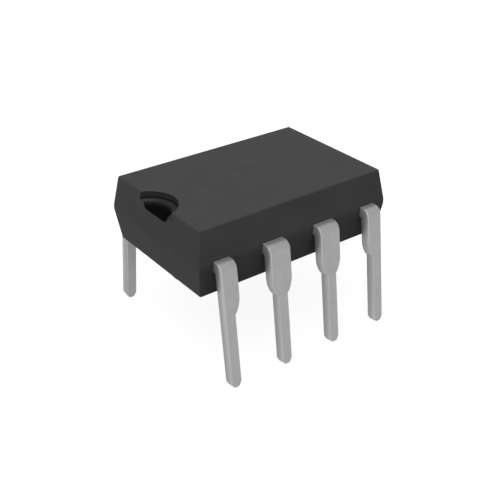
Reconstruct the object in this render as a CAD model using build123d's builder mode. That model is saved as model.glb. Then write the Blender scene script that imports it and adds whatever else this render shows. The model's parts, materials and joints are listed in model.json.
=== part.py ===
from build123d import *
import os
from math import cos, radians, sin, tan

# Optocoupler in an eight-lead dual in-line package, in millimetres.
# X runs along the package, with the orientation notch at its -X end. Y runs across it.
# Z points up from the plane that the lead tips stand on, and the origin is at the middle.
# Leads 1 to 4 lie along the -Y side from -X to +X, and leads 5 to 8 come back along +Y.

# Lead field
pitch = 2.54                  # between neighbouring leads
end_margin = 0.88             # middle of an end lead to the end of the body
pin_length = 3.175            # height of the seating ledge above the tips
standoff = 0.62               # underside of the body above the seating ledge

# Outer moulding, measured at the parting line, with the insets of its drafted faces
body_width = 6.39
upper_height = 1.32           # parting line to top face
lower_height = 1.51           # parting line to underside
top_end_inset = 0.20
top_side_inset = 0.276
bottom_end_inset = 0.167
bottom_side_inset = 0.247
corner_radius = 0.06          # upright corners
rim_break = 0.03              # chamfer round the top face and the underside

# Orientation notch
notch_radius = 1.19
notch_axis_gap = 0.38         # axis of the notch beyond the top face's end edge
notch_step_depth = 0.25
notch_ledge = 0.26
notch_depth = 0.55
notch_floor_radius = 0.25

# Ejector marks under the body
ejector_radius = 0.55
ejector_depth = 0.04
ejector_offset = 3.1          # from the middle, along X

# Lead strip
sheet = 0.45                  # thickness
pin_width = 0.48
shoulder_width = 0.985
ledge_width = 0.60            # across the shoulder, just above the seating ledge
ledge_rise = 0.03
shoulder_taper = 0.68         # height of the curved run from the full shoulder to the ledge
tip_chamfer = 0.12            # across the pin
tip_chamfer_height = 0.215
lead_edge_break = 0.035       # chamfer along the long edges
bend_gap = 0.14               # body side to the start of the bend, along the top
outer_bend_radius = 0.36
inner_bend_radius = 0.08
bend_tail = 0.05              # straight run below the bend, to the top of the flat leg
lead_splay = 7.1              # degrees that a leg leans outwards
neck_depth = 0.30             # run of the neck inside the body

# Inner fingers
stub_reach = 1.20             # body side to the end of an unconnected stub
stub_bar = 0.36               # cross bar that anchors the stub, along Y
stub_bar_overhang = 0.16
joggle_start = 0.82           # body side to the first bend of a joggled finger
joggle_run = 0.60
joggle_radius = 0.25          # middle line of the strip
joggle_flat = 0.15            # full-width run past a joggle
cathode_paddle_half = 0.55    # emitter axis to the paddle's free edges
anode_pad_width = 0.74
anode_pad_end = 0.60          # emitter axis to the end of the anode finger
detector_paddle_half = 0.95
detector_arm_width = 0.70
signal_finger_width = 0.70
signal_finger_end = 1.42      # detector axis to the end of a signal finger
supply_arm_width = 0.60
supply_arm_y = 0.80           # middle line of the supply finger's arm
supply_arm_end = 1.70         # detector axis to the end of the arm

# Dies, with their adhesive films
emitter_size = 0.32
emitter_height = 0.20
detector_length = 1.30
detector_width = 1.10
detector_height = 0.25
film = 0.03                   # thickness under each die
film_margin = 0.05            # beyond the die's edges
detector_downset = 0.60       # detector paddle below the leads
optical_gap = 0.47            # emitter face to detector face

# Clear coat over the emitter
coat_radius = 0.42
coat_height = 0.37

# Inner moulding, measured at the parting line
inner_length = 4.90
inner_width = 4.10
inner_cover = 0.22            # over the emitter paddle and under the detector paddle
inner_inset = 0.18            # of the drafted faces, at top and bottom
inner_corner_radius = 0.25

# Bond wires
wire_radius = 0.015
ball_radius = 0.04
ball_height = 0.02
wire_bite = 0.04              # run past the landing point that is trimmed to the finger
knee_share = 0.75             # of the run from the pad to the landing, at the knee
pad_inset = 0.12              # die edge to the middle of a bond pad
ground_wire_run = 0.42        # pad to landing on the detector's own paddle
signal_rise = 0.40            # pad to the top of a loop
signal_knee = 0.12            # landing to the knee of a loop
ground_rise = 0.14
ground_knee = 0.30
emitter_drop = 0.12           # the emitter's loop hangs down
emitter_knee = 0.22

# Levels
underside = pin_length + standoff
parting = underside + lower_height
top = parting + upper_height
lead_middle = parting - sheet / 2
detector_paddle_top = parting - detector_downset
detector_face = detector_paddle_top + film + detector_height
emitter_face = detector_face + optical_gap
emitter_paddle_bottom = emitter_face + emitter_height + film
inner_top = emitter_paddle_bottom + sheet + inner_cover
inner_bottom = detector_paddle_top - sheet - inner_cover

# Places along X and Y
inner_lead_x = pitch / 2
outer_lead_x = 3 * pitch / 2
body_length = 2 * (outer_lead_x + end_margin)
body_side = body_width / 2
neck_end = body_side - neck_depth
joggle_end = joggle_start + joggle_run + joggle_flat
notch_x = -(body_length / 2 - top_end_inset + notch_axis_gap)

# The bend: the sharp corners of its two sides, before they are rounded
splay = radians(lead_splay)
fold = tan((radians(90) - splay) / 2)    # tangent length of a bend of unit radius
outer_corner_y = body_side + bend_gap + outer_bend_radius * fold
inner_corner_y = outer_corner_y - sheet * fold
middle_corner_y = (outer_corner_y + inner_corner_y) / 2
inner_run = inner_bend_radius * fold + bend_tail
outer_run = inner_run + sheet * fold

# The leg's own plane: its middle plane, from the lowest edge of the tip up to the bend
tip_z = sheet / 2 * sin(splay)
middle_length = (lead_middle - tip_z) / cos(splay)
leg_length = middle_length - (inner_run + outer_run) / 2
tip_y = middle_corner_y + middle_length * sin(splay)
ledge_height = (pin_length - tip_z) / cos(splay)


def between(x_low, x_high, y_low, y_high):
    """Add the rectangle between these edges to the open sketch."""
    with Locations(((x_low + x_high) / 2, (y_low + y_high) / 2)):
        Rectangle(x_high - x_low, y_high - y_low)


def leg_side(hand, flush):
    """Draw one side of the leg's outline, from the bend down to the tip.

    hand is -1 for the side towards -X and 1 for the side towards +X. A flush side stays at the
    pin's width all the way, as on the outer side of an end lead.
    """
    pin_edge = hand * pin_width / 2
    chamfer_top = (pin_edge, tip_chamfer_height)
    if flush:
        Line((pin_edge, leg_length), chamfer_top)
    else:
        shoulder_edge = hand * shoulder_width / 2
        ledge_top = (hand * ledge_width / 2, ledge_height + ledge_rise)
        taper_top = (shoulder_edge, ledge_top[1] + shoulder_taper)
        Line((shoulder_edge, leg_length), taper_top)
        TangentArc(taper_top, ledge_top, tangent=(0, -1))
        Polyline(ledge_top, (pin_edge, ledge_height), chamfer_top)
    Line(chamfer_top, (pin_edge - hand * tip_chamfer, 0))


def lead_edges(x, flush_hand):
    """X of a lead's two edges at the shoulder. flush_hand is its flush side, or 0 for none."""
    low = pin_width / 2 if flush_hand < 0 else shoulder_width / 2
    high = pin_width / 2 if flush_hand > 0 else shoulder_width / 2
    return x - low, x + high


def bend_side(level, corner_y, run, radius):
    """Draw one side of the neck and the bend, from the neck's end down to the leg."""
    leg_top = (-corner_y - run * sin(splay), level - run * cos(splay))
    return FilletPolyline((-neck_end, level), (-corner_y, level), leg_top, radius=radius)


def formed_leg(x, flush_hand):
    """Neck, bend and leg of a lead on the -Y side, with its long edges broken."""
    low, high = lead_edges(x, flush_hand)
    tip = (x, -tip_y, tip_z)
    leg_plane = Plane(origin=tip, x_dir=(1, 0, 0), z_dir=(0, -cos(splay), sin(splay)))
    with BuildPart() as leg:
        # The neck and the bend in side view, with the outer corner pressed tighter than the strip
        with BuildSketch(Plane.YZ.offset(low)):
            with BuildLine():
                outer = bend_side(parting, outer_corner_y, outer_run, outer_bend_radius)
                inner = bend_side(parting - sheet, inner_corner_y, inner_run, inner_bend_radius)
                Line(outer @ 0, inner @ 0)
                Line(outer @ 1, inner @ 1)
            make_face()
        extrude(amount=high - low)
        # The flat leg is the stamped outline, drawn in its own leaning plane
        with BuildSketch(leg_plane):
            with BuildLine() as outline:
                leg_side(-1, flush_hand < 0)
                leg_side(1, flush_hand > 0)
                Line((tip_chamfer - pin_width / 2, 0), (pin_width / 2 - tip_chamfer, 0))
                Line((low - x, leg_length), (high - x, leg_length))
            make_face()
        extrude(amount=sheet / 2, both=True)
        across = leg.edges().filter_by(Axis.X)
        through = leg.edges().filter_by(Axis((0, 0, 0), leg_plane.z_dir))
        neck_ends = leg.edges().filter_by(Axis.Z)
        chamfer(leg.edges() - across - through - neck_ends, lead_edge_break)
    return leg.part


def joggle(hand, paddle_middle, y_end):
    """Trace the side view of a finger that steps from the lead's level to its paddle's.

    hand is the side of the body that the lead leaves from, and y_end where the paddle ends.
    """
    step = hand * (body_side - joggle_start)
    landing = step - hand * joggle_run
    with BuildLine() as middle_line:
        FilletPolyline(
            (hand * neck_end, lead_middle),
            (step, lead_middle),
            (landing, paddle_middle),
            (y_end, paddle_middle),
            radius=joggle_radius,
        )
    trace(middle_line.line, line_width=sheet)


# Legs
leg_1 = formed_leg(-outer_lead_x, -1)
leg_2 = formed_leg(-inner_lead_x, 0)
leg_3 = formed_leg(inner_lead_x, 0)
leg_4 = formed_leg(outer_lead_x, 1)

# Lead 1, an unconnected stub with an anchoring cross bar
low, high = lead_edges(-outer_lead_x, -1)
stub_end = body_side - stub_reach
with BuildPart() as lead_1:
    add(leg_1)
    with BuildSketch(Plane.XY.offset(parting - sheet)):
        between(low, high, -neck_end, -stub_end)
        between(low - stub_bar_overhang, high + stub_bar_overhang, -stub_end - stub_bar, -stub_end)
    extrude(amount=sheet)
lead_1.part.label = "lead_1"

# Lead 4, the same stub at the other end
with BuildPart() as lead_4:
    mirror(lead_1.part, about=Plane.YZ)
lead_4.part.label = "lead_4"

# Lead 2, the emitter's anode finger, raised to the level of the emitter paddle
emitter_paddle_middle = emitter_paddle_bottom + sheet / 2
low, high = lead_edges(-inner_lead_x, 0)
anode_y = -anode_pad_end
with BuildPart() as lead_2:
    with BuildSketch(Plane.YZ.offset(low)):
        joggle(-1, emitter_paddle_middle, anode_y)
    extrude(amount=high - low)
    with BuildSketch():
        between(low, high, -neck_end, joggle_end - body_side)
        between(low, low + anode_pad_width, -neck_end, anode_y)
    extrude(amount=top, mode=Mode.INTERSECT)
    add(leg_2)
lead_2.part.label = "lead_2"

# Lead 3, the emitter's cathode, with the paddle that carries the emitter face down
low, high = lead_edges(inner_lead_x, 0)
with BuildPart() as lead_3:
    with BuildSketch(Plane.YZ.offset(-cathode_paddle_half)):
        joggle(-1, emitter_paddle_middle, cathode_paddle_half)
    extrude(amount=cathode_paddle_half + high)
    with BuildSketch():
        between(low, high, -neck_end, 0)
        between(-cathode_paddle_half, high, joggle_end - body_side, cathode_paddle_half)
    extrude(amount=top, mode=Mode.INTERSECT)
    add(leg_3)
lead_3.part.label = "lead_3"

# Lead 5, the detector's ground, with a lowered arm and paddle that carry the detector
detector_paddle_middle = detector_paddle_top - sheet / 2
low, high = lead_edges(outer_lead_x, 1)
with BuildPart() as lead_5:
    with BuildSketch(Plane.YZ.offset(-detector_paddle_half)):
        joggle(1, detector_paddle_middle, -detector_paddle_half)
    extrude(amount=detector_paddle_half + high)
    with BuildSketch():
        between(low, high, -detector_arm_width / 2, neck_end)
        between(0, high, -detector_arm_width / 2, detector_arm_width / 2)
        Rectangle(2 * detector_paddle_half, 2 * detector_paddle_half)
    extrude(amount=top, mode=Mode.INTERSECT)
    mirror(leg_4, about=Plane.XZ)
lead_5.part.label = "lead_5"

# Leads 6 and 7, the detector's output and enable fingers, flat and straight
low, high = lead_edges(inner_lead_x, 0)
with BuildPart() as lead_6:
    with BuildSketch(Plane.XY.offset(parting - sheet)):
        between(low, high, body_side - joggle_start, neck_end)
        with Locations((inner_lead_x, (signal_finger_end + neck_end) / 2)):
            Rectangle(signal_finger_width, neck_end - signal_finger_end)
    extrude(amount=sheet)
    mirror(leg_3, about=Plane.XZ)
lead_6.part.label = "lead_6"

with BuildPart() as lead_7:
    mirror(lead_6.part, about=Plane.YZ)
lead_7.part.label = "lead_7"

# Lead 8, the detector's supply finger, with an arm that turns in towards the detector
low, high = lead_edges(-outer_lead_x, -1)
arm_low = supply_arm_y - supply_arm_width / 2
with BuildPart() as lead_8:
    with BuildSketch(Plane.XY.offset(parting - sheet)):
        between(low, high, arm_low, neck_end)
        between(low, -supply_arm_end, arm_low, arm_low + supply_arm_width)
    extrude(amount=sheet)
    mirror(leg_1, about=Plane.XZ)
lead_8.part.label = "lead_8"

leads = [lead_1, lead_2, lead_3, lead_4, lead_5, lead_6, lead_7, lead_8]

# Emitter die, hung under its paddle by the adhesive film
film_up = (Align.CENTER, Align.CENTER, Align.MIN)
with BuildPart(Plane.XY.offset(emitter_paddle_bottom - film)) as emitter_die_attach:
    film_size = emitter_size + 2 * film_margin
    Box(film_size, film_size, film, align=film_up)
emitter_die_attach.part.label = "emitter_die_attach"

with BuildPart(Plane.XY.offset(emitter_face)) as emitter_die:
    Box(emitter_size, emitter_size, emitter_height, align=film_up)
emitter_die.part.label = "emitter_die"

# Detector die, on the adhesive film on its paddle
with BuildPart(Plane.XY.offset(detector_paddle_top)) as detector_die_attach:
    Box(detector_length + 2 * film_margin, detector_width + 2 * film_margin, film, align=film_up)
detector_die_attach.part.label = "detector_die_attach"

with BuildPart(Plane.XY.offset(detector_paddle_top + film)) as detector_die:
    Box(detector_length, detector_width, detector_height, align=film_up)
detector_die.part.label = "detector_die"


def bond_wire(bond, landing, carrier, rise, knee_rise):
    """Ball-bonded wire from a die face to a finger, trimmed to the finger's face.

    bond and landing are points on the two faces. The loop leaves the die upright by rise, and
    bends down to the finger from a knee that stands off it by knee_rise. Negative rises make a
    wire that hangs below its die.
    """
    up = 1 if rise > 0 else -1
    knee = bond + (landing - bond) * knee_share
    knee = Vector(knee.X, knee.Y, landing.Z + knee_rise)
    end = landing + (landing - knee).normalized() * wire_bite
    with BuildPart() as wire:
        with BuildSketch(Plane(origin=bond, z_dir=(0, 0, up))) as pad:
            Circle(ball_radius)
        extrude(amount=ball_height)
        with BuildLine() as loop:
            Polyline(bond, bond + Vector(0, 0, rise), knee, end)
        with BuildSketch(Plane(origin=bond, z_dir=(0, 0, up))) as section:
            Circle(wire_radius)
        sweep(sections=section.sketch, path=loop.wire(), transition=Transition.RIGHT)
        add(carrier.part, mode=Mode.SUBTRACT)
    return wire


# Bond wires
pad_x = detector_length / 2 - pad_inset
pad_y = detector_width / 2 - pad_inset
finger_top = parting
supply_landing = Vector(-supply_arm_end - pad_inset, supply_arm_y, finger_top)
signal_landing_y = signal_finger_end + pad_inset
enable_landing = Vector(-inner_lead_x, signal_landing_y, finger_top)
output_landing = Vector(inner_lead_x, signal_landing_y, finger_top)
ground_landing_x = (detector_length / 2 + detector_paddle_half) / 2
ground_landing = Vector(ground_landing_x, -pad_y - ground_wire_run, detector_paddle_top)
anode_landing = Vector(
    -inner_lead_x - shoulder_width / 2 + anode_pad_width - pad_inset,
    anode_y - pad_inset,
    emitter_paddle_bottom,
)

emitter_bond_wire = bond_wire(
    Vector(0, 0, emitter_face), anode_landing, lead_2, -emitter_drop, -emitter_knee
)
emitter_bond_wire.part.label = "emitter_bond_wire"

supply_bond_wire = bond_wire(
    Vector(-pad_x, 0, detector_face), supply_landing, lead_8, signal_rise, signal_knee
)
supply_bond_wire.part.label = "supply_bond_wire"

enable_bond_wire = bond_wire(
    Vector(-pad_x, pad_y, detector_face), enable_landing, lead_7, signal_rise, signal_knee
)
enable_bond_wire.part.label = "enable_bond_wire"

output_bond_wire = bond_wire(
    Vector(pad_x, pad_y, detector_face), output_landing, lead_6, signal_rise, signal_knee
)
output_bond_wire.part.label = "output_bond_wire"

ground_bond_wire = bond_wire(
    Vector(pad_x, -pad_y, detector_face), ground_landing, lead_5, ground_rise, ground_knee
)
ground_bond_wire.part.label = "ground_bond_wire"

wires = [emitter_bond_wire, supply_bond_wire, enable_bond_wire, output_bond_wire, ground_bond_wire]

# Clear coat, a dome that hangs from the emitter paddle and holds the emitter
with BuildPart() as emitter_gel_coat:
    with BuildSketch(Plane.XZ):
        with BuildLine():
            rim = (coat_radius, emitter_paddle_bottom)
            crown = (0, emitter_paddle_bottom - coat_height)
            Polyline(crown, (0, emitter_paddle_bottom), rim)
            TangentArc(crown, rim, tangent=(1, 0))
        make_face()
    revolve(axis=Axis.Z)
    for held in [emitter_die, emitter_die_attach, emitter_bond_wire]:
        add(held.part, mode=Mode.SUBTRACT)
emitter_gel_coat.part.label = "emitter_gel_coat"

held_inside = [emitter_die, emitter_die_attach, detector_die, detector_die_attach, *wires]


def drafted_block(block, length, width, levels, insets, radius):
    """Two drafted halves that meet at the parting line, with their upright corners rounded.

    levels are the heights of the top face and the underside, and insets the X and Y insets there.
    """
    for level, (inset_x, inset_y) in zip(levels, insets):
        outward = -1 if level > parting else 1
        mould_half = Plane(origin=(0, 0, parting), x_dir=(1, 0, 0), z_dir=(0, outward, 0))
        with Locations(mould_half):
            Wedge(
                length,
                abs(level - parting),
                width,
                inset_x,
                inset_y,
                length - inset_x,
                width - inset_y,
                align=(Align.CENTER, Align.MIN, Align.CENTER),
            )
    seam = block.edges().filter_by_position(Axis.Z, parting, parting)
    rims = block.faces().filter_by(Axis.Z).edges()
    fillet(block.edges() - seam - rims, radius)


# Inner moulding, which carries the light and keeps the two sides apart
with BuildPart() as inner_moulding:
    drafted_block(
        inner_moulding,
        inner_length,
        inner_width,
        [inner_top, inner_bottom],
        [(inner_inset, inner_inset), (inner_inset, inner_inset)],
        inner_corner_radius,
    )
    inner_envelope = inner_moulding.part
    for held in [*leads, *held_inside, emitter_gel_coat]:
        add(held.part, mode=Mode.SUBTRACT)
inner_moulding.part.label = "inner_moulding"

# Outer moulding, the black body around it all
with BuildPart() as outer_moulding:
    drafted_block(
        outer_moulding,
        body_length,
        body_width,
        [top, underside],
        [(top_end_inset, top_side_inset), (bottom_end_inset, bottom_side_inset)],
        corner_radius,
    )
    chamfer(outer_moulding.faces().filter_by(Axis.Z).edges(), rim_break)
    # The notch steps down to a ledge and then to a floor with a rounded foot
    with BuildSketch(Plane.XZ):
        with BuildLine():
            ledge_z = top - notch_step_depth
            floor_z = top - notch_depth
            inner_x = notch_x + notch_radius - notch_ledge
            foot_top = (inner_x, floor_z + notch_floor_radius)
            foot_end = (inner_x - notch_floor_radius, floor_z)
            Polyline(
                foot_end,
                (notch_x, floor_z),
                (notch_x, top + rim_break),
                (notch_x + notch_radius, top + rim_break),
                (notch_x + notch_radius, ledge_z),
                (inner_x, ledge_z),
                foot_top,
            )
            TangentArc(foot_top, foot_end, tangent=(0, -1))
        make_face()
    revolve(axis=Axis((notch_x, 0, 0), (0, 0, 1)), mode=Mode.SUBTRACT)
    with BuildSketch(Plane.XY.offset(underside)):
        with Locations((-ejector_offset, 0), (ejector_offset, 0)):
            Circle(ejector_radius)
    extrude(amount=ejector_depth, mode=Mode.SUBTRACT)
    add(inner_envelope, mode=Mode.SUBTRACT)
    for held in [*leads, *held_inside]:
        add(held.part, mode=Mode.SUBTRACT)
outer_moulding.part.label = "outer_moulding"

# Export
pieces = [
    outer_moulding,
    inner_moulding,
    emitter_gel_coat,
    emitter_die,
    emitter_die_attach,
    detector_die,
    detector_die_attach,
    *leads,
    *wires,
]
os.makedirs("parts", exist_ok=True)
for piece in pieces:
    export_step(piece.part, f"parts/{piece.part.label}.step")
print(f"row spacing at the tips {2 * tip_y:.3f} mm, body length {body_length:.3f} mm")
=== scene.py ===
"""Looks of an eight-lead optocoupler in a dual in-line package.

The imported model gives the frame: its origin is at the middle of the package, on the plane that the
lead tips stand on. X runs along the package with the orientation notch at -X, Y runs across it and
Z points up. The moulded body and the eight formed leads are modelled here. The inner moulding, the
clear coat, the two dies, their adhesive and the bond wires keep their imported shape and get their
finish here.
"""

from __future__ import annotations

import json
import logging
import math
from abc import ABC, abstractmethod
from collections.abc import Callable, Iterator, Mapping, Sequence
from contextlib import contextmanager
from dataclasses import dataclass
from enum import Enum, IntEnum
from typing import Any

import bmesh
import bpy
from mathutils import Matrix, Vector

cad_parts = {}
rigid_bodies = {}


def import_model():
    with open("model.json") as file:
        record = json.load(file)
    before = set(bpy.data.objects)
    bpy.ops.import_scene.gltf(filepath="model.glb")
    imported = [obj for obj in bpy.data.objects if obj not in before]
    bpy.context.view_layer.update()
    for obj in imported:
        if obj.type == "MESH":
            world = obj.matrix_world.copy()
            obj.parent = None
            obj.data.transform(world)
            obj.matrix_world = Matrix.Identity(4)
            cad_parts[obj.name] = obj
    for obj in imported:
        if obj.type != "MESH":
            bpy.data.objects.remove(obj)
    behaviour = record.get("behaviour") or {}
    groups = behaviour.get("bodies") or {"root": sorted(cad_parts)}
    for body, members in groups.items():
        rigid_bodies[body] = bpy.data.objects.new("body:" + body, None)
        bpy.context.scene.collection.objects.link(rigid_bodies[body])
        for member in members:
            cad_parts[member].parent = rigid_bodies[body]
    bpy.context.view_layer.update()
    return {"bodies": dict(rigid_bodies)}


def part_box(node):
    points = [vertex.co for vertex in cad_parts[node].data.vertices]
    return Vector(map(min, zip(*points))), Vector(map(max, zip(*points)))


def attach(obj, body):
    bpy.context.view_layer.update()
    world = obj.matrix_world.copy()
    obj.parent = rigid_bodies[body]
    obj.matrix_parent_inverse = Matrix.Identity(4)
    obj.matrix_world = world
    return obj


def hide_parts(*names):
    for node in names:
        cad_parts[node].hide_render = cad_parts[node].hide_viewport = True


MM = 0.001
BODY = "root"
NEAR = 1e-6  # two places closer than this are the same one
LEVEL = 0.99  # a face whose normal has more than this along Z lies level
LEADS_IN_ROW = 4

log = logging.getLogger("optocoupler")

Colour = tuple[float, float, float]


class Pick(Enum):
    """Kinds of mesh element that an edit works on."""

    FACE = "faces"
    EDGE = "edges"


class Axis(IntEnum):
    """Axes of the frame, by their place in a vector."""

    X = 0
    Y = 1


# Modelling helpers


def only(piece: bpy.types.Object) -> None:
    """Select one piece alone and make it active.

    Args:
        piece: The object that the next operator works on.
    """
    bpy.ops.object.select_all(action="DESELECT")
    piece.select_set(True)
    bpy.context.view_layer.objects.active = piece


@contextmanager
def editing(piece: bpy.types.Object) -> Iterator[None]:
    """Open a piece in edit mode with nothing selected, and close it again.

    Args:
        piece: The mesh object to edit.
    """
    only(piece)
    bpy.ops.object.mode_set(mode="EDIT")
    bpy.ops.mesh.select_all(action="DESELECT")
    yield
    bpy.ops.object.mode_set(mode="OBJECT")


def add(primitive: Callable[..., Any], name: str, **settings: Any) -> bpy.types.Object:
    """Add a primitive, with everything else deselected.

    Args:
        primitive: The operator that adds it.
        name: The new piece's name.
        settings: The operator's settings, such as size and place.

    Returns:
        The new piece.
    """
    bpy.ops.object.select_all(action="DESELECT")
    primitive(**settings)
    piece = bpy.context.view_layer.objects.active
    piece.name = name
    return piece


def pick(piece: bpy.types.Object, kind: Pick, test: Callable[[Any], bool]) -> None:
    """Select the elements of a piece in edit mode that pass a test, and no others.

    Args:
        piece: The mesh object in edit mode.
        kind: Faces or edges.
        test: Says of one element whether it is picked.
    """
    bpy.ops.mesh.select_mode(type=kind.name)
    bpy.ops.mesh.select_all(action="DESELECT")
    mesh = bmesh.from_edit_mesh(piece.data)
    for element in getattr(mesh, kind.value):
        if test(element):
            element.select_set(True)
    mesh.select_flush_mode()
    bmesh.update_edit_mesh(piece.data)


def middle(edge: bmesh.types.BMEdge) -> Vector:
    """Middle point of an edge."""
    return (edge.verts[0].co + edge.verts[1].co) / 2


def along(edge: bmesh.types.BMEdge, axis: Axis) -> bool:
    """Whether an edge runs along one axis."""
    run = (edge.verts[1].co - edge.verts[0].co).normalized()
    return abs(run[axis]) > 1 - NEAR


def lies_at(edge: bmesh.types.BMEdge, level: float) -> bool:
    """Whether an edge lies at one level."""
    return all(abs(vertex.co.z - level) < NEAR for vertex in edge.verts)


def is_upright(edge: bmesh.types.BMEdge) -> bool:
    """Whether an edge goes up or down."""
    return abs(edge.verts[0].co.z - edge.verts[1].co.z) > NEAR


def draw_out(offset: Sequence[float]) -> None:
    """Extrude the picked edges by an offset."""
    bpy.ops.mesh.extrude_edges_move(TRANSFORM_OT_translate={"value": tuple(offset)})


def round_picked(width: float, segments: int) -> None:
    """Round the picked edges, by the width to each side and the number of steps."""
    bpy.ops.mesh.bevel(offset=width, segments=segments, affect="EDGES", profile=0.5)


def apply_transform(piece: bpy.types.Object) -> None:
    """Move the object's place, turn and scale into its mesh."""
    only(piece)
    bpy.ops.object.transform_apply(location=True, rotation=True, scale=True)


def merge_and_face_out(piece: bpy.types.Object) -> None:
    """Merge doubled points and turn all faces one way, which is outwards on a closed piece.

    Args:
        piece: The piece to clean.
    """
    with editing(piece):
        bpy.ops.mesh.select_all(action="SELECT")
        bpy.ops.mesh.remove_doubles(threshold=NEAR / 2)
        bpy.ops.mesh.normals_make_consistent(inside=False)


def apply_modifier(piece: bpy.types.Object, kind: str, settings: Mapping[str, Any]) -> None:
    """Add a modifier with its settings and apply it.

    Args:
        piece: The object to work on.
        kind: The modifier's type.
        settings: The modifier's own settings, by name.
    """
    only(piece)
    modifier = piece.modifiers.new(kind.lower(), kind)
    for name, value in settings.items():
        setattr(modifier, name, value)
    bpy.ops.object.modifier_apply(modifier=modifier.name)


def carve(piece: bpy.types.Object, tool: bpy.types.Object, keep_tool: bool = False) -> None:
    """Cut a tool's shape away from a piece.

    Args:
        piece: The piece that is cut.
        tool: The closed shape that is taken away from it.
        keep_tool: Whether the tool stays in the scene.
    """
    settings = {"object": tool, "operation": "DIFFERENCE", "solver": "EXACT"}
    apply_modifier(piece, "BOOLEAN", settings)
    if not keep_tool:
        bpy.data.objects.remove(tool)


def smooth(piece: bpy.types.Object, sharper_than: float) -> None:
    """Shade a piece smooth, with flat faces kept flat beside their rounded edges.

    Args:
        piece: The finished mesh object.
        sharper_than: Angle in radians past which an edge stays sharp.
    """
    only(piece)
    bpy.ops.object.shade_smooth_by_angle(angle=sharper_than)
    apply_modifier(piece, "WEIGHTED_NORMAL", {"keep_sharp": True, "weight": 100})


def duplicate(piece: bpy.types.Object, name: str) -> bpy.types.Object:
    """Copy a piece with its own mesh.

    Args:
        piece: The object to copy.
        name: The copy's name.

    Returns:
        The copy, linked to the scene.
    """
    only(piece)
    bpy.ops.object.duplicate(linked=False)
    copy = bpy.context.view_layer.objects.active
    copy.name = name
    copy.data.name = name
    return copy


# Shader helpers


@dataclass(frozen=True)
class Signal:
    """One output of a node graph, with arithmetic that adds Math nodes."""

    graph: Graph
    socket: bpy.types.NodeSocket

    def __add__(self, other: Signal | float) -> Signal:
        """Sum."""
        return self.graph.maths("ADD", self, other)

    def __sub__(self, other: Signal | float) -> Signal:
        """Difference."""
        return self.graph.maths("SUBTRACT", self, other)

    def __mul__(self, other: Signal | float) -> Signal:
        """Product."""
        return self.graph.maths("MULTIPLY", self, other)

    def __pow__(self, other: float) -> Signal:
        """Power."""
        return self.graph.maths("POWER", self, other)

    def __abs__(self) -> Signal:
        """Size without its sign."""
        return self.graph.maths("ABSOLUTE", self, 0)

    def __rsub__(self, other: float) -> Signal:
        """Difference with the number first."""
        return self.graph.maths("SUBTRACT", other, self)

    __radd__ = __add__
    __rmul__ = __mul__

    def or_more(self, other: Signal | float) -> Signal:
        """The larger of two values."""
        return self.graph.maths("MAXIMUM", self, other)

    def swing(self, width: float) -> Signal:
        """Noise about a half made to swing about 0, within this width."""
        return (self - 0.5) * width

    def above(self, level: float, softness: float) -> Signal:
        """Mask that rises from 0 to 1 about a level, over the width of its softness."""
        return self.graph.ramp(self, level - softness / 2, level + softness / 2)

    def below(self, level: float, softness: float) -> Signal:
        """Mask that falls from 1 to 0 about a level, over the width of its softness."""
        return 1 - self.above(level, softness)


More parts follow.
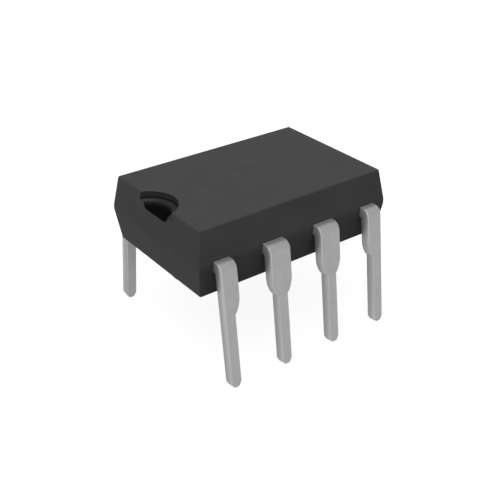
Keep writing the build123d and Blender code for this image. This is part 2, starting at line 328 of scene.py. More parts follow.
class Graph:
    """The node graph of one material or of the world."""

    def __init__(self, tree: bpy.types.NodeTree) -> None:
        """Empty a node tree, to be filled by this graph."""
        self.tree = tree
        tree.nodes.clear()

    def node(
        self,
        kind: str,
        settings: Mapping[str, Any] | None = None,
        sockets: Mapping[str | int, Any] | None = None,
    ) -> bpy.types.Node:
        """Add a node, with its settings first and then its sockets.

        Args:
            kind: The node's type, without its common prefix.
            settings: The node's own settings, by name.
            sockets: Values or links of the inputs, by name, identifier or number.

        Returns:
            The new node.
        """
        made = self.tree.nodes.new("ShaderNode" + kind)
        for name, value in (settings or {}).items():
            setattr(made, name, value)
        for key, value in (sockets or {}).items():
            self.feed(self.find(made.inputs, key), value)
        return made

    @staticmethod
    def find(sockets: Any, key: str | int) -> bpy.types.NodeSocket:
        """Find a socket of a node.

        Args:
            sockets: The node's inputs or outputs.
            key: The socket's number, identifier or name.

        Returns:
            The socket.
        """
        if isinstance(key, int):
            return sockets[key]
        same = [socket for socket in sockets if socket.identifier == key]
        return same[0] if same else sockets[key]

    def feed(self, socket: bpy.types.NodeSocket, value: Any) -> None:
        """Link a signal to an input, or set the input's value.

        Args:
            socket: The input.
            value: A signal, a number, a colour or a vector.
        """
        if isinstance(value, Signal):
            self.tree.links.new(value.socket, socket)
        elif socket.type == "RGBA":
            socket.default_value = (*value, 1)
        else:
            socket.default_value = value

    def out(self, node: bpy.types.Node, key: str | int = 0) -> Signal:
        """One output of a node, by number, identifier or name."""
        return Signal(self, self.find(node.outputs, key))

    def maths(self, operation: str, first: Signal | float, second: Signal | float) -> Signal:
        """Two values joined by a Math node's operation."""
        return self.out(self.node("Math", {"operation": operation}, {0: first, 1: second}))

    def ramp(self, value: Signal, low: float, high: float) -> Signal:
        """Rise smoothly from 0 at one level to 1 at another.

        Args:
            value: What is measured.
            low: Level of the start.
            high: Level of the end.

        Returns:
            The mask.
        """
        settings = {"interpolation_type": "SMOOTHSTEP"}
        sockets = {"Value": value, "From Min": low, "From Max": high}
        return self.out(self.node("MapRange", settings, sockets))

    def place(self) -> Signal:
        """Object coordinates, in metres in the frame."""
        return self.out(self.node("TexCoord"), "Object")

    def axes(self, vector: Signal) -> tuple[Signal, Signal, Signal]:
        """The X, Y and Z of a place or direction."""
        split = self.node("SeparateXYZ", sockets={0: vector})
        return self.out(split, 0), self.out(split, 1), self.out(split, 2)

    def stretch(self, point: Signal, factors: tuple[float, float, float]) -> Signal:
        """A place with its X, Y and Z multiplied by these factors."""
        return self.out(self.node("Mapping", sockets={"Vector": point, "Scale": factors}))

    def noise(self, point: Signal, size: float, detail: float, rough: float = 0.5) -> Signal:
        """Noise about a half, with features of one size and finer layers of a given roughness."""
        sockets = {"Vector": point, "Scale": 1 / size, "Detail": detail, "Roughness": rough}
        return self.out(self.node("TexNoise", sockets=sockets))

    def specks(self, point: Signal, spacing: float, share: float) -> Signal:
        """Mask of scattered round specks, whose radius is a share of their spacing."""
        cells = self.node("TexVoronoi", sockets={"Vector": point, "Scale": 1 / spacing})
        return self.out(cells, "Distance").below(share, share / 2)

    def mix(self, mask: Signal | float, first: Signal | Colour, second: Signal | Colour) -> Signal:
        """The first colour where the mask is 0, and the second where it is 1."""
        sockets = {"Factor_Float": mask, "A_Color": first, "B_Color": second}
        return self.out(self.node("Mix", {"data_type": "RGBA"}, sockets), "Result_Color")

    def bump(self, height: Signal, depth: float, strength: float) -> Signal:
        """Normal of a height pattern, in which a value of 1 stands for a depth in metres."""
        sockets = {"Height": height, "Distance": depth, "Strength": strength}
        return self.out(self.node("Bump", sockets=sockets))

    def shader(self, sockets: Mapping[str, Any]) -> Signal:
        """Principled shader with these values and links."""
        return self.out(self.node("BsdfPrincipled", sockets=sockets))

    def shown_rays(self) -> Signal:
        """Mask of the rays that show the background: to the camera, in gloss and through glass.

        Returns:
            The mask.
        """
        rays = self.node("LightPath")
        seen = self.out(rays, "Is Camera Ray").or_more(self.out(rays, "Is Glossy Ray"))
        return seen.or_more(self.out(rays, "Is Transmission Ray"))

    def surface(self, shader: Signal) -> None:
        """Send a shader to the surface of the material or world."""
        kind = "OutputWorld" if self.tree.id_data.id_type == "WORLD" else "OutputMaterial"
        self.node(kind, sockets={"Surface": shader})


def grey(value: float) -> Colour:
    """A neutral colour."""
    return (value, value, value)


def reach(across: Signal, beside: Signal) -> Signal:
    """Distance from an axis, from the two places measured square to it."""
    return (across**2 + beside**2) ** 0.5


def coat_with(piece: bpy.types.Object, material: bpy.types.Material) -> None:
    """Give a whole piece one material.

    Args:
        piece: A new piece or a packed one.
        material: Its finish.
    """
    if piece.material_slots:
        for slot in piece.material_slots:
            slot.material = material
    else:
        piece.data.materials.append(material)


# Finishes


class Finish(ABC):
    """How a surface looks. Each finish paints a material of its own."""

    name: str

    @abstractmethod
    def paint(self, graph: Graph) -> Signal:
        """Add the finish to an empty graph and return its shader."""

    def material(self) -> bpy.types.Material:
        """Make a material with this finish.

        Returns:
            The material.
        """
        made = bpy.data.materials.new(self.name)
        made.use_nodes = True
        graph = Graph(made.node_tree)
        graph.surface(self.paint(graph))
        return made


@dataclass(frozen=True)
class MouldCompound(Finish):
    """Black epoxy moulding compound, matt on the faces, with painted shade in the notch."""

    notch: Notch
    name: str = "black_epoxy_finish"
    shade: float = 0.046
    # pale colour of the random mottling, also used as painted light on the ledge's open ends
    pale_mottle_and_lit_ledge_shade: float = 0.052
    speck_shade: float = 0.08
    speck_strength: float = 0.35
    roughness: float = 0.56
    gloss: float = 0.04
    cloud_size: float = 1.3 * MM
    grain_size: float = 0.045 * MM
    speck_spacing: float = 0.16 * MM
    relief: float = 0.004 * MM
    # painted shade and shadow of the notch: dark tones that stand in for the shade falling in it
    wall_top_painted_shade: float = 0.026
    crease_painted_shadow: float = 0.007
    ledge_painted_shade: float = 0.034
    lip_painted_shade: float = 0.026
    pit_painted_shadow: float = 0.003
    crease_width: float = 0.05 * MM
    crease_height: float = 0.16 * MM
    lip_depth: float = 0.20 * MM
    open_from: float = 0.30 * MM
    hair: float = 0.01 * MM

    def paint(self, graph: Graph) -> Signal:
        """Matt compound with filler specks, and painted shade in the notch.

        Args:
            graph: The material's empty graph.

        Returns:
            The shader.
        """
        point = graph.place()
        cloud = graph.noise(point, self.cloud_size, detail=3)
        grain = graph.noise(point, self.grain_size, detail=3, rough=0.6)
        filler = graph.specks(point, self.speck_spacing, share=0.16) * cloud.above(0.45, softness=0.2)
        colour = graph.mix(cloud.above(0.5, softness=0.5), grey(self.shade), grey(self.pale_mottle_and_lit_ledge_shade))
        colour = graph.mix(filler * self.speck_strength, colour, grey(self.speck_shade))
        normal = graph.bump(grain + cloud * 0.4, self.relief, strength=0.7)
        face = graph.shader(
            {
                "Base Color": colour,
                "Roughness": grain.swing(0.25) + cloud.swing(0.1) + self.roughness,
                "Specular IOR Level": self.gloss,
                "Normal": normal,
            }
        )
        # the notch is painted dark: painted shade on its walls and ledge, painted shadow in its crease
        # and floor
        inside, notch_painted_tone = self.notch_painted_shade(graph, point)
        notch_shader_painted_dark = graph.shader(
            {
                "Base Color": graph.mix(grain * 0.4, notch_painted_tone, grey(self.crease_painted_shadow)),
                "Roughness": grain * 0.2 + self.roughness,
                "Specular IOR Level": 0,
                "Normal": normal,
            }
        )
        return graph.out(graph.node("MixShader", sockets={0: inside, 1: face, 2: notch_shader_painted_dark}))

    def notch_painted_shade(self, graph: Graph, point: Signal) -> tuple[Signal, Signal]:
        """Mask of the notch and its painted shade: dim wall, dark crease, lighter ledge ends, black
        floor.

        Args:
            graph: The compound's graph.
            point: Place on the surface.

        Returns:
            The mask and the painted shade.
        """
        notch, hair = self.notch, self.hair
        x, y, z = graph.axes(point)
        distance = reach(x - notch.axis_x, y)
        over_ledge = z.above(notch.ledge_z - hair, hair)
        upper = z.below(notch.top - hair, hair) * over_ledge
        upper = distance.below(notch.radius + hair, hair) * upper
        sunk = (notch.floor_z + notch.foot_radius - z).or_more(0)
        foot = (notch.foot_radius**2 - sunk**2) ** 0.5 + (notch.inner_radius - notch.foot_radius)
        lower = z.above(notch.floor_z - hair, hair) * (1 - over_ledge)
        lower = (distance - foot).below(hair, hair) * lower
        # painted shade: the wall darkens downwards to a painted shadow along its foot
        climb = graph.ramp(z, notch.ledge_z, notch.ledge_z + self.crease_height)
        wall = graph.mix(climb, grey(self.crease_painted_shadow), grey(self.wall_top_painted_shade))
        crease = graph.ramp(distance, notch.radius - self.crease_width, notch.radius)
        # painted light: the ledge is painted lighter towards its open ends, where more light reaches it
        open_end_painted_light = graph.ramp(abs(y), self.open_from, notch.inner_radius)
        ledge = graph.mix(open_end_painted_light, grey(self.ledge_painted_shade), grey(self.pale_mottle_and_lit_ledge_shade))
        ledge = graph.mix(crease, ledge, grey(self.crease_painted_shadow))
        step = graph.mix(z.below(notch.ledge_z + hair, hair), wall, ledge)
        # painted shadow: the lower wall falls to black on the floor
        rise = graph.ramp(z, notch.ledge_z - self.lip_depth, notch.ledge_z)
        pit = graph.mix(rise, grey(self.pit_painted_shadow), grey(self.lip_painted_shade))
        return upper + lower, graph.mix(upper, pit, step)


@dataclass(frozen=True)
class TinPlate(Finish):
    """Matt tin plating: painted highlight on the edges, painted shade on upward faces, darker sheared
    sides.

    It takes the outer corner of the front row's bend and the leads' splay in radians.
    """

    bend: Vector
    splay: float
    name: str = "tin_plate_finish"
    shade: float = 0.42
    dull_shade: float = 0.395
    # darker sheared sides: partly the duller sheared metal, partly painted shade
    sheared_and_painted_side_shade: float = 0.35
    # painted shade for every face turned upwards
    upward_painted_shade: float = 0.345
    # painted highlight on the rounded edges and on the sheared sides next to the outer face
    painted_edge_highlight: float = 0.50
    roughness: float = 0.46
    metallic: float = 0.6
    mark_width: float = 0.03 * MM
    stain_size: float = 0.5 * MM
    pit_spacing: float = 0.09 * MM
    relief: float = 0.0015 * MM
    sheared_from: float = 0.8
    edge_highlight_from: float = 0.35
    upward_from: float = 0.4
    side_highlight_depth: float = 0.34 * MM

    def paint(self, graph: Graph) -> Signal:
        """Matt tin with draw marks, small stains and fine pits.

        Args:
            graph: The material's empty graph.

        Returns:
            The shader.
        """
        point = graph.place()
        marks = graph.noise(graph.stretch(point, (1, 1, 0.06)), self.mark_width, detail=2)
        stain = graph.noise(point, self.stain_size, detail=3)
        pits = graph.specks(point, self.pit_spacing, share=0.18)
        colour = graph.mix(stain.above(0.5, softness=0.45), grey(self.shade), grey(self.dull_shade))
        colour = graph.mix(marks.above(0.5, softness=0.6) * 0.3, colour, grey(self.dull_shade))
        facing = graph.axes(graph.out(graph.node("TexCoord"), "Normal"))
        sideways = abs(facing[0])
        # painted highlight: the rounded edges are painted brighter
        edge = sideways.above(self.edge_highlight_from, softness=0.3)
        # painted shade: faces turned upwards are painted darker, muting the bend's highlight and
        # darkening neck tops
        colour = graph.mix(facing[2].above(self.upward_from, softness=0.5), colour, grey(self.upward_painted_shade))
        colour = graph.mix(edge, colour, grey(self.painted_edge_highlight))
        # painted highlight: a band on each sheared side next to the outer face, fading inwards
        side_highlight_band = 1 - graph.ramp(self.inwards(graph, point), 0, self.side_highlight_depth)
        side = graph.mix(side_highlight_band, grey(self.sheared_and_painted_side_shade), grey(self.painted_edge_highlight))
        return graph.shader(
            {
                # the sheared sides get their darker colour, partly painted shade, with the painted
                # highlight band
                "Base Color": graph.mix(sideways.above(self.sheared_from, softness=0.1), colour, side),
                "Metallic": self.metallic,
                "Roughness": marks.swing(0.16) + stain.swing(0.1) + self.roughness,
                "Normal": graph.bump(marks - pits * 0.5, self.relief, strength=0.5),
            }
        )

    def inwards(self, graph: Graph, point: Signal) -> Signal:
        """Distance behind the outer face of a leg, for both rows.

        Args:
            graph: The tin's graph.
            point: Place on the surface.

        Returns:
            The distance in metres.
        """
        sine, cosine = math.sin(self.splay), math.cos(self.splay)
        _, y, z = graph.axes(point)
        return self.bend.z * sine - self.bend.y * cosine - (abs(y) * cosine + z * sine)


@dataclass(frozen=True)
class GuideEpoxy(Finish):
    """Translucent white epoxy that leads the light from the emitter to the detector."""

    name: str = "white_epoxy_finish"
    shade: Colour = (0.82, 0.81, 0.77)
    flow_shade: Colour = (0.74, 0.72, 0.64)
    void_shade: Colour = (0.58, 0.56, 0.48)
    roughness: float = 0.5
    scatter: float = 0.1
    scatter_depth: Colour = (0.3 * MM, 0.28 * MM, 0.22 * MM)
    flow_size: float = 0.9 * MM
    grain_size: float = 0.05 * MM
    void_spacing: float = 0.3 * MM
    relief: float = 0.003 * MM

    def paint(self, graph: Graph) -> Signal:
        """White compound with flow clouds, small voids and a fine grain.

        Args:
            graph: The material's empty graph.

        Returns:
            The shader.
        """
        point = graph.place()
        flow = graph.noise(graph.stretch(point, (0.5, 1, 1.6)), self.flow_size, detail=3)
        grain = graph.noise(point, self.grain_size, detail=2)
        voids = graph.specks(point, self.void_spacing, share=0.12) * flow.above(0.5, softness=0.2)
        colour = graph.mix(flow.above(0.5, softness=0.5), self.shade, self.flow_shade)
        return graph.shader(
            {
                "Base Color": graph.mix(voids * 0.6, colour, self.void_shade),
                "Roughness": grain.swing(0.2) + self.roughness,
                "Subsurface Weight": self.scatter,
                "Subsurface Radius": self.scatter_depth,
                "Normal": graph.bump(grain - voids, self.relief, strength=0.6),
            }
        )


@dataclass(frozen=True)
class ClearSilicone(Finish):
    """Soft clear silicone over the emitter."""

    name: str = "clear_silicone_finish"
    shade: Colour = (0.93, 0.93, 0.90)
    haze_shade: Colour = (0.82, 0.82, 0.76)
    roughness: float = 0.06
    refraction: float = 1.41
    clearness: float = 0.85
    haze_size: float = 0.25 * MM
    ripple_size: float = 0.12 * MM
    bubble_spacing: float = 0.11 * MM
    relief: float = 0.002 * MM

    def paint(self, graph: Graph) -> Signal:
        """Clear coat with faint haze, sunken ripples and tiny bubbles.

        Args:
            graph: The material's empty graph.

        Returns:
            The shader.
        """
        point = graph.place()
        haze = graph.noise(point, self.haze_size, detail=3)
        ripple = graph.noise(graph.stretch(point, (1, 1, 0.4)), self.ripple_size, detail=1)
        bubbles = graph.specks(point, self.bubble_spacing, share=0.1)
        colour = graph.mix(haze.above(0.55, softness=0.4), self.shade, self.haze_shade)
        return graph.shader(
            {
                "Base Color": graph.mix(bubbles * 0.5, colour, self.haze_shade),
                "Roughness": haze * 0.12 + self.roughness,
                "IOR": self.refraction,
                "Transmission Weight": self.clearness,
                "Normal": graph.bump(ripple + bubbles, self.relief, strength=0.5),
            }
        )


@dataclass(frozen=True)
class Chip(Finish):
    """Sawn chip with its metal on the wired face and saw marks down its sides."""

    name: str
    node: str
    shade: Colour
    cell_shade: Colour
    metal_shade: Colour
    cell: float
    pad_radius: float
    pad_edge: float = 0.01 * MM
    saw_pitch: float = 0.012 * MM
    relief: float = 0.001 * MM
    roughness: float = 0.18

    def paint(self, graph: Graph) -> Signal:
        """Chip with square circuit cells, a round contact at its middle and saw marks.

        Args:
            graph: The material's empty graph.

        Returns:
            The shader.
        """
        low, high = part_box(self.node)
        centre = (low + high) / 2
        point = graph.place()
        x, y, _ = graph.axes(point)
        square = {"distance": "CHEBYCHEV"}
        cells = graph.node("TexVoronoi", square, {"Vector": point, "Scale": 1 / self.cell})
        lines = graph.out(cells, "Distance").above(0.42, softness=0.1)
        saw = graph.noise(graph.stretch(point, (0.2, 0.2, 1)), self.saw_pitch, detail=2)
        contact = reach(x - centre.x, y - centre.y).below(self.pad_radius, self.pad_edge)
        colour = graph.mix(saw.above(0.5, softness=0.5) * 0.5, self.shade, self.cell_shade)
        colour = graph.mix(lines * 0.7, colour, self.cell_shade)
        return graph.shader(
            {
                "Base Color": graph.mix(contact, colour, self.metal_shade),
                "Metallic": contact,
                "Roughness": saw * 0.2 + self.roughness,
                "Normal": graph.bump(lines + saw * 0.3, self.relief, strength=0.6),
            }
        )


@dataclass(frozen=True)
class MetalFilm(Finish):
    """Thin metal: silver-filled adhesive or drawn gold wire."""

    name: str
    shade: Colour
    dull_shade: Colour
    flake: float
    metallic: float
    roughness: float
    relief: float = 0.001 * MM

    def paint(self, graph: Graph) -> Signal:
        """Metal with flakes, dull clouds and fine scratches.

        Args:
            graph: The material's empty graph.

        Returns:
            The shader.
        """
        point = graph.place()
        flakes = graph.specks(point, self.flake, share=0.3)
        cloud = graph.noise(point, 5 * self.flake, detail=3)
        scratch = graph.noise(graph.stretch(point, (0.3, 1, 1)), self.flake / 2, detail=2)
        colour = graph.mix(cloud.above(0.5, softness=0.4), self.shade, self.dull_shade)
        return graph.shader(
            {
                "Base Color": graph.mix(flakes * 0.5, colour, self.shade),
                "Metallic": self.metallic,
                "Roughness": scratch.swing(0.2) + cloud.swing(0.1) + self.roughness,
                "Normal": graph.bump(flakes + scratch * 0.5, self.relief, strength=0.5),
            }
        )


@dataclass(frozen=True)
class PaleFloor(Finish):
    """Floor that shows white and keeps the soft shadow."""

    name: str = "floor_finish"
    shade: float = 0.22
    white: float = 0.87

    def paint(self, graph: Graph) -> Signal:
        """Plain pale floor with a glow of its own, for the rays that show it.

        Args:
            graph: The material's empty graph.

        Returns:
            The shader.
        """
        lit = graph.node("BsdfDiffuse", sockets={"Color": grey(self.shade)})
        glow = graph.node("Emission", sockets={"Strength": graph.shown_rays() * self.white})
        return graph.out(graph.node("AddShader", sockets={0: graph.out(lit), 1: graph.out(glow)}))


# Sub-assemblies


@dataclass
class DraftedBlock:
    """Two drafted halves that meet at a parting line, with their edges rounded.

    Its insets are along X and Y. Its rounds are those of the top rim, the parting edge and the
    bottom rim.
    """

    low: Vector
    high: Vector
    parting: float
    top_inset: tuple[float, float]
    bottom_inset: tuple[float, float]
    corner_radius: float
    rounds: tuple[float, float, float] = (0, 0, 0)
    corner_segments: int = 5
    round_segments: int = 3

    def build(self, name: str) -> bpy.types.Object:
        """Model the block from a cube that is cut at the parting line.

        Args:
            name: The block's name.

        Returns:
            The block, with its place in its mesh.
        """
        size = self.high - self.low
        centre = (self.low + self.high) / 2
        block = add(bpy.ops.mesh.primitive_cube_add, name, size=1, location=centre, scale=size)
        apply_transform(block)
        with editing(block):
            bpy.ops.mesh.select_all(action="SELECT")
            bpy.ops.mesh.bisect(plane_co=(0, 0, self.parting), plane_no=(0, 0, 1), threshold=NEAR)
            for inset, direction in ((self.top_inset, 1), (self.bottom_inset, -1)):
                pick(block, Pick.FACE, lambda face: face.normal.z * direction > LEVEL)
                factors = (1 - 2 * inset[0] / size.x, 1 - 2 * inset[1] / size.y, 1)
                bpy.ops.transform.resize(value=factors)
            pick(block, Pick.EDGE, is_upright)
            round_picked(self.corner_radius, self.corner_segments)
            for level, radius in zip((self.high.z, self.parting, self.low.z), self.rounds):
                if radius:
                    pick(block, Pick.EDGE, lambda edge: lies_at(edge, level))
                    round_picked(radius, self.round_segments)
        merge_and_face_out(block)
        return block


@dataclass
class TurnedTool:
    """A closed turned shape, built up ring by ring from its lowest disc.

    Each ring has its radius and its level.
    """

    axis: tuple[float, float]
    rings: Sequence[tuple[float, float]]
    steps: int = 96

    def build(self, name: str) -> bpy.types.Object:
        """Extrude a filled circle upwards and set each ring's radius.

        Args:
            name: The tool's name.

        Returns:
            The tool, with its place in its mesh.
        """
        radius, level = self.rings[0]
        tool = add(
            bpy.ops.mesh.primitive_circle_add,
            name,
            vertices=self.steps,
            radius=radius,
            fill_type="NGON",
            location=(*self.axis, level),
        )
        apply_transform(tool)
        with editing(tool):
            bpy.ops.mesh.select_mode(type="FACE")
            bpy.ops.mesh.select_all(action="SELECT")
            for next_radius, next_level in self.rings[1:]:
                rise = (0, 0, next_level - level)
                bpy.ops.mesh.extrude_region_move(TRANSFORM_OT_translate={"value": rise})
                factor = next_radius / radius
                bpy.ops.transform.resize(value=(factor, factor, 1))
                radius, level = next_radius, next_level
        merge_and_face_out(tool)
        return tool


@dataclass(frozen=True)
class Notch:
    """Stepped round notch in the top of one end, by its axis, its sizes and the top face's level."""

    axis_x: float
    top: float
    radius: float = 1.19 * MM
    ledge: float = 0.26 * MM
    step: float = 0.30 * MM
    depth: float = 0.55 * MM
    foot_radius: float = 0.25 * MM
    rim_radius: float = 0.02 * MM
    round_steps: int = 6

    @property
    def inner_radius(self) -> float:
        """Radius below the ledge."""
        return self.radius - self.ledge

    @property
    def ledge_z(self) -> float:
        """Level of the ledge."""
        return self.top - self.step

    @property
    def floor_z(self) -> float:
        """Level of the floor."""
        return self.top - self.depth

    def cutter(self) -> bpy.types.Object:
        """Turned cutter with the floor, rounded foot, ledge, wall and rim of the notch.

        Returns:
            The cutter.
        """
        flat = self.inner_radius - self.foot_radius
        rings = [(flat, self.floor_z)]
        turns = [math.pi / 2 * step / self.round_steps for step in range(self.round_steps + 1)]
        for turn in turns[1:]:
            radius = flat + self.foot_radius * math.sin(turn)
            rings.append((radius, self.floor_z + self.foot_radius * (1 - math.cos(turn))))
        rings.append((self.inner_radius, self.ledge_z))
        rings.append((self.radius, self.ledge_z))
        for turn in turns:
            radius = self.radius + self.rim_radius * (1 - math.cos(turn))
            rings.append((radius, self.top - self.rim_radius * (1 - math.sin(turn))))
        rings.append((self.radius + self.rim_radius, self.top + self.depth))
        return TurnedTool((self.axis_x, 0), rings).build("notch_cutter")


@dataclass
class MouldedBody:
    """The black outer moulding, with its notch and ejector marks."""

    parting_drop: float = 0.11 * MM
    top_inset: tuple[float, float] = (0.21 * MM, 0.25 * MM)
    bottom_inset: tuple[float, float] = (0.177 * MM, 0.263 * MM)
    corner_radius: float = 0.06 * MM
    rounds: tuple[float, float, float] = (0.06 * MM, 0.16 * MM, 0.03 * MM)
    parting_cut: tuple[float, float] = (0.010 * MM, 0.016 * MM)
    notch_axis_gap: float = 0.39 * MM
    ejector_radius: float = 0.55 * MM
    ejector_depth: float = 0.04 * MM
    ejector_offset: float = 3.1 * MM
    inner_inset: float = 0.18 * MM
    inner_corner_radius: float = 0.25 * MM
    sharper_than: float = math.radians(30)

    def __post_init__(self) -> None:
        """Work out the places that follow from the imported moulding."""
        self.low, self.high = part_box("outer_moulding")
        self.lead_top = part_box("lead_6")[1].z
        axis_x = self.low.x + self.top_inset[0] - self.notch_axis_gap
        self.notch = Notch(axis_x, self.high.z)

    def build(self, leads: Sequence[bpy.types.Object]) -> bpy.types.Object:
        """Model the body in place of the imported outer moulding.

        The block starts larger by what the rounding of the parting edge takes off again.

        Args:
            leads: The finished leads, which the compound is moulded round.

        Returns:
            The finished body.
        """
        grown = Vector((*self.parting_cut, 0))
        block = DraftedBlock(
            self.low - grown,
            self.high + grown,
            self.lead_top - self.parting_drop,
            self.top_inset,
            self.bottom_inset,
            self.corner_radius,
            self.rounds,
        )
        body = block.build("moulded_body")
        carve(body, self.notch.cutter())
        for side in (-1, 1):
            carve(body, self.ejector_tool(side * self.ejector_offset))
        carve(body, self.inner_space())
        for lead in leads:
            carve(body, lead, keep_tool=True)
        smooth(body, self.sharper_than)
        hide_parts("outer_moulding")
        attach(body, BODY)
        return body

    def inner_space(self) -> bpy.types.Object:
        """Block that is cut away inside the body for the inner moulding.

        Returns:
            The block.
        """
        low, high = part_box("inner_moulding")
        inset = (self.inner_inset, self.inner_inset)
        block = DraftedBlock(low, high, self.lead_top, inset, inset, self.inner_corner_radius)
        return block.build("inner_space")

    def ejector_tool(self, x: float) -> bpy.types.Object:
        """Shallow round cutter for an ejector mark.

        Args:
            x: Place of the mark along the body.

        Returns:
            The cutter.
        """
        flare = self.ejector_depth / 2
        underside = self.low.z
        rings = [
            (self.ejector_radius + flare, underside - self.ejector_radius),
            (self.ejector_radius + flare, underside),
            (self.ejector_radius, underside + flare),
            (self.ejector_radius, underside + self.ejector_depth),
        ]
        return TurnedTool((x, 0), rings).build("ejector_cutter")

    def dress(self, body: bpy.types.Object) -> None:
        """Give the body its finish."""
        coat_with(body, MouldCompound(self.notch).material())


@dataclass
class Finger:
    """The inner end of a lead while it is drawn, with the lead in edit mode.

    It ends in a line along X, from low_x to high_x, at end_y and end_z.
    """

    lead: bpy.types.Object
    low_x: float
    high_x: float
    end_y: float
    end_z: float

    def pick_line(self, axis: Axis, at: float, low: float, high: float) -> None:
        """Pick the edges that run along one axis on one line.

        Args:
            axis: The axis that they run along.
            at: Place of the line on the other axis.
            low: Where the line starts.
            high: Where the line ends.
        """
        other = Axis.Y if axis is Axis.X else Axis.X
        pick(
            self.lead,
            Pick.EDGE,
            lambda edge: along(edge, axis)
            and abs(middle(edge)[other] - at) < NEAR
            and low - NEAR < middle(edge)[axis] < high + NEAR,
        )

    def run_to(self, y: float, z: float | None = None) -> None:
        """Carry the finger on from its end, straight or to another level.

        Args:
            y: Where the new stretch ends.
            z: Its level there. Without it, the finger stays level.
        """
        target = self.end_z if z is None else z
        self.pick_line(Axis.X, self.end_y, self.low_x, self.high_x)
        draw_out((0, y - self.end_y, target - self.end_z))
        self.end_y, self.end_z = y, target

    def widen(self, x: float, start_y: float, end_y: float, by: float) -> None:
        """Draw one side of the finger out along X, between two Y places."""
        self.pick_line(Axis.Y, x, start_y, end_y)
        draw_out((by, 0, 0))

    def narrow_to(self, start_y: float, low: float, high: float) -> None:
        """Split the last stretch so that the finger goes on between two X places alone.

        Args:
            start_y: Where the last stretch starts.
            low: Lower X of the finger from here on.
            high: Higher X of the finger from here on.
        """
        for x in (low, high):
            if self.low_x + NEAR < x < self.high_x - NEAR:
                pick(
                    self.lead,
                    Pick.FACE,
                    lambda face: start_y < face.calc_center_median().y < self.end_y,
                )
                bpy.ops.mesh.bisect(plane_co=(x, 0, 0), plane_no=(1, 0, 0), threshold=NEAR)
        self.low_x, self.high_x = low, high


